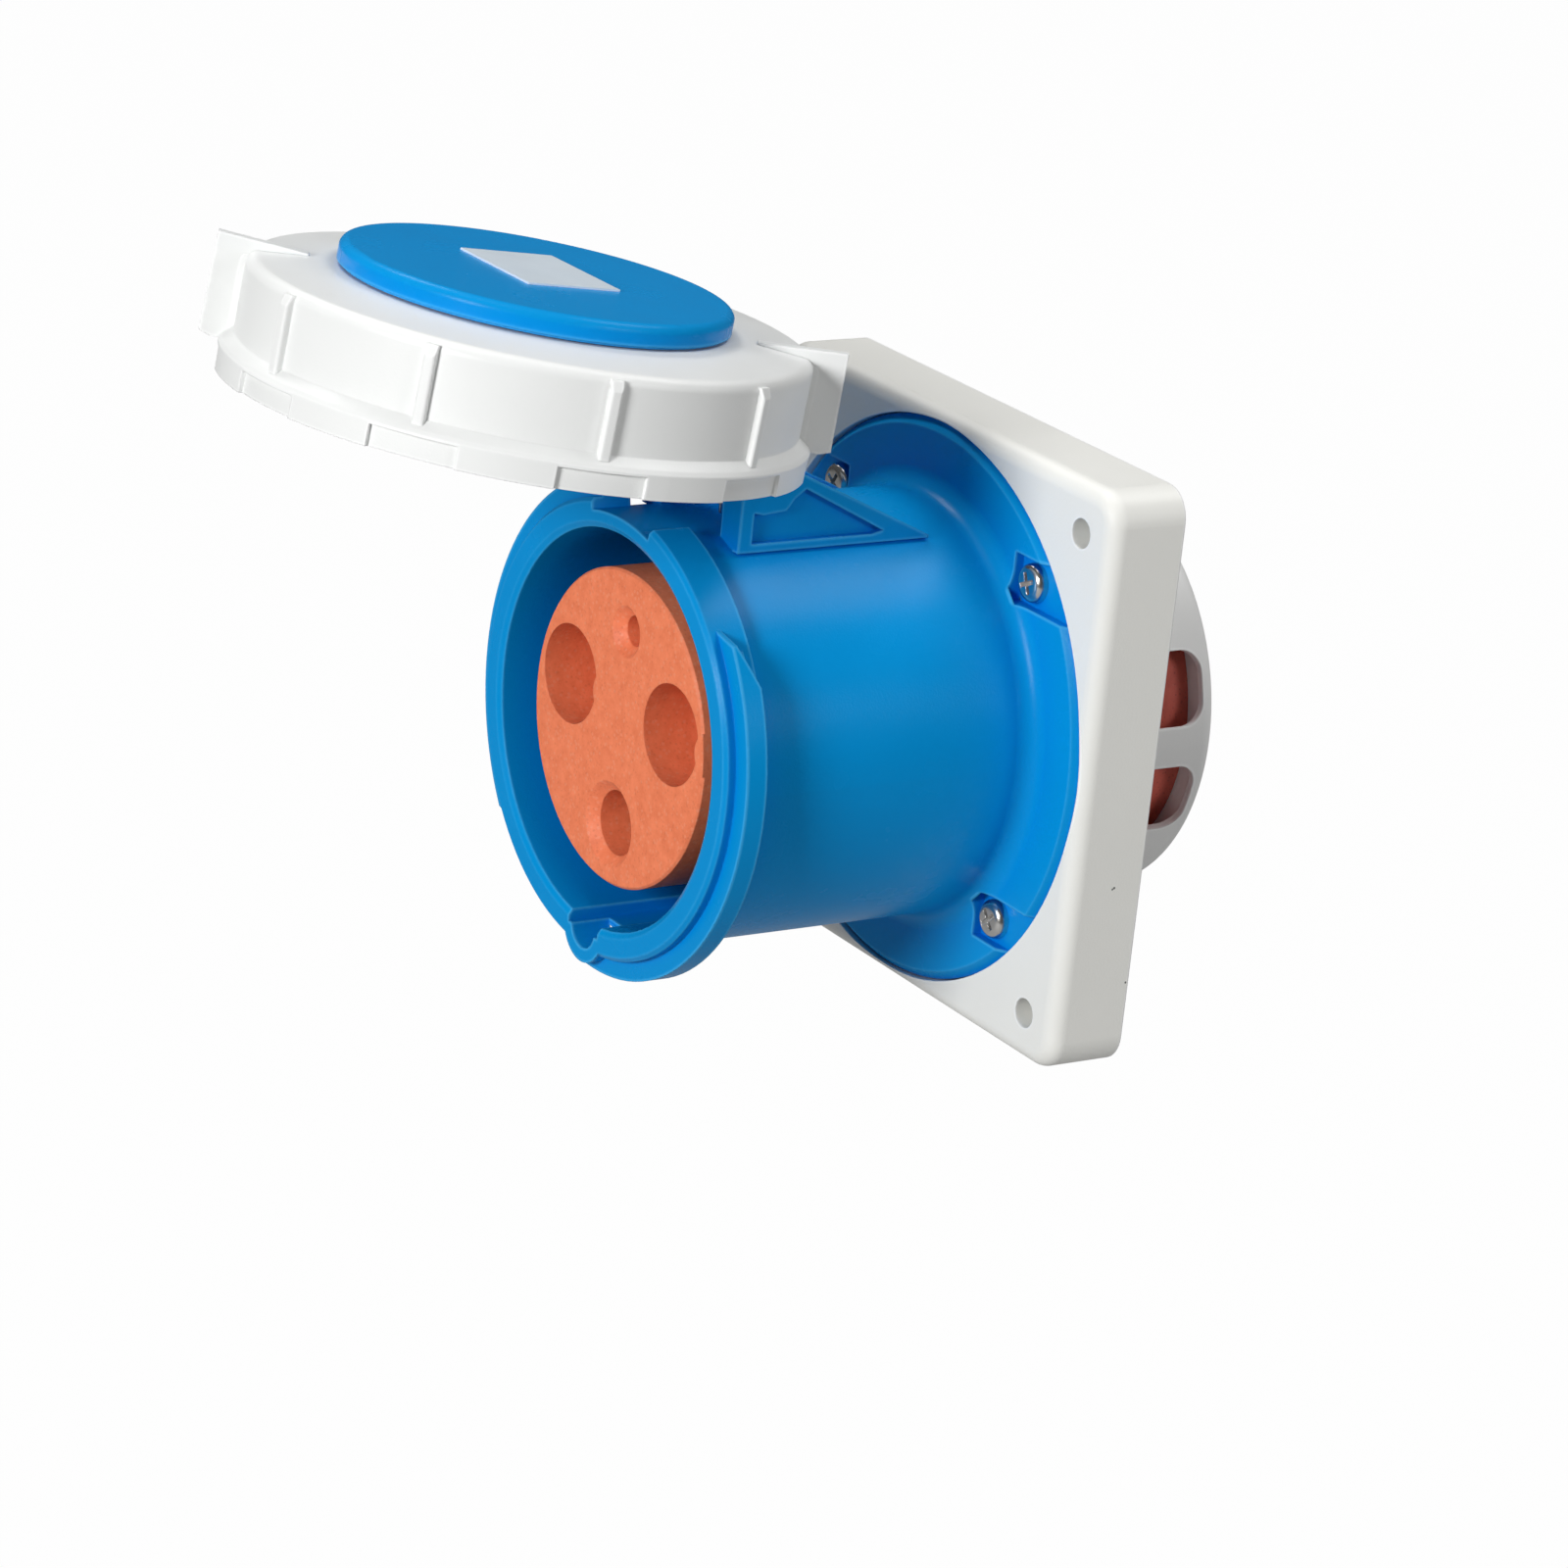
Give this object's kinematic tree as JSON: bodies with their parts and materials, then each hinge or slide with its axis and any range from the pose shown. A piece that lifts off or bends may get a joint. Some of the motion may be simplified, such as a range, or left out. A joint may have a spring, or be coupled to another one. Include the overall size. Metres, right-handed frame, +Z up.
{
  "type": "industrial wall socket",
  "caption": "Panel socket with a round blue housing on a square plate, round pin entries, a rear cage, and a hinged lid with a bayonet locking ring.",
  "frame": {"origin": "centre of the mounting plate's back face, on the socket's axis", "axes": "+Y into the wall along the socket's axis, so the socket's mouth faces -Y; +X to the right seen from the front; +Z up"},
  "size_m": [0.12, 0.2043, 0.1583],
  "materials": {
    "plate_grey": "fine matt",
    "seal_rubber": "matt",
    "housing_blue": "satin gloss",
    "carrier_red": "matt, speckled",
    "rear_carrier_red": "matt",
    "label_blank": "satin",
    "ring_white": "fine matt",
    "contact_brass": "satin",
    "terminal_steel": "zinc plated",
    "screw_steel": "nickel plated",
    "pin_steel": "satin",
    "spring_steel": "satin"
  },
  "bodies": {
    "socket": {"cage_screw_1": "screw_steel", "cage_screw_2": "screw_steel", "carrier_screw_1": "screw_steel", "carrier_screw_2": "screw_steel", "carrier_screw_3": "screw_steel", "contact_carrier": "carrier_red", "earth_contact": "contact_brass", "flange_seal": "seal_rubber", "hinge_pin": "pin_steel", "hinge_spring": "spring_steel", "housing_screw_lower_left": "screw_steel", "housing_screw_lower_right": "screw_steel", "housing_screw_upper_left": "screw_steel", "housing_screw_upper_right": "screw_steel", "line_contact": "contact_brass", "mounting_plate": "plate_grey", "neutral_contact": "contact_brass", "pilot_contact": "contact_brass", "rear_cage": "plate_grey", "rear_carrier": "rear_carrier_red", "socket_housing": "housing_blue", "terminal_screw_earth": "terminal_steel", "terminal_screw_line": "terminal_steel", "terminal_screw_neutral": "terminal_steel", "terminal_screw_pilot": "terminal_steel", "wall_gasket": "seal_rubber"},
    "lid": {"lid_disc": "housing_blue", "label_plate": "label_blank", "lid_cap": "housing_blue", "lid_seal": "seal_rubber", "lid_screw_1": "screw_steel", "lid_screw_2": "screw_steel", "lid_screw_3": "screw_steel"},
    "ring": {"locking_ring": "ring_white"}
  },
  "joints": [
    {"name": "lid_hinge", "type": "hinge", "parent": "socket", "child": "lid", "pos_m": [0, -0.0675, 0.0515], "axis": [1, 0, 0], "range_deg": [0, 97.1], "stiffness_Nm_per_rad": 0.08, "springref_deg": -60.16, "deforming": ["hinge_spring"]},
    {"name": "ring_turn", "type": "hinge", "parent": "lid", "child": "ring", "pos_m": [0, -0.1147, 0.08922], "axis": [0, 0.1236, 0.9923], "range_deg": [-45, 0]}
  ]
}
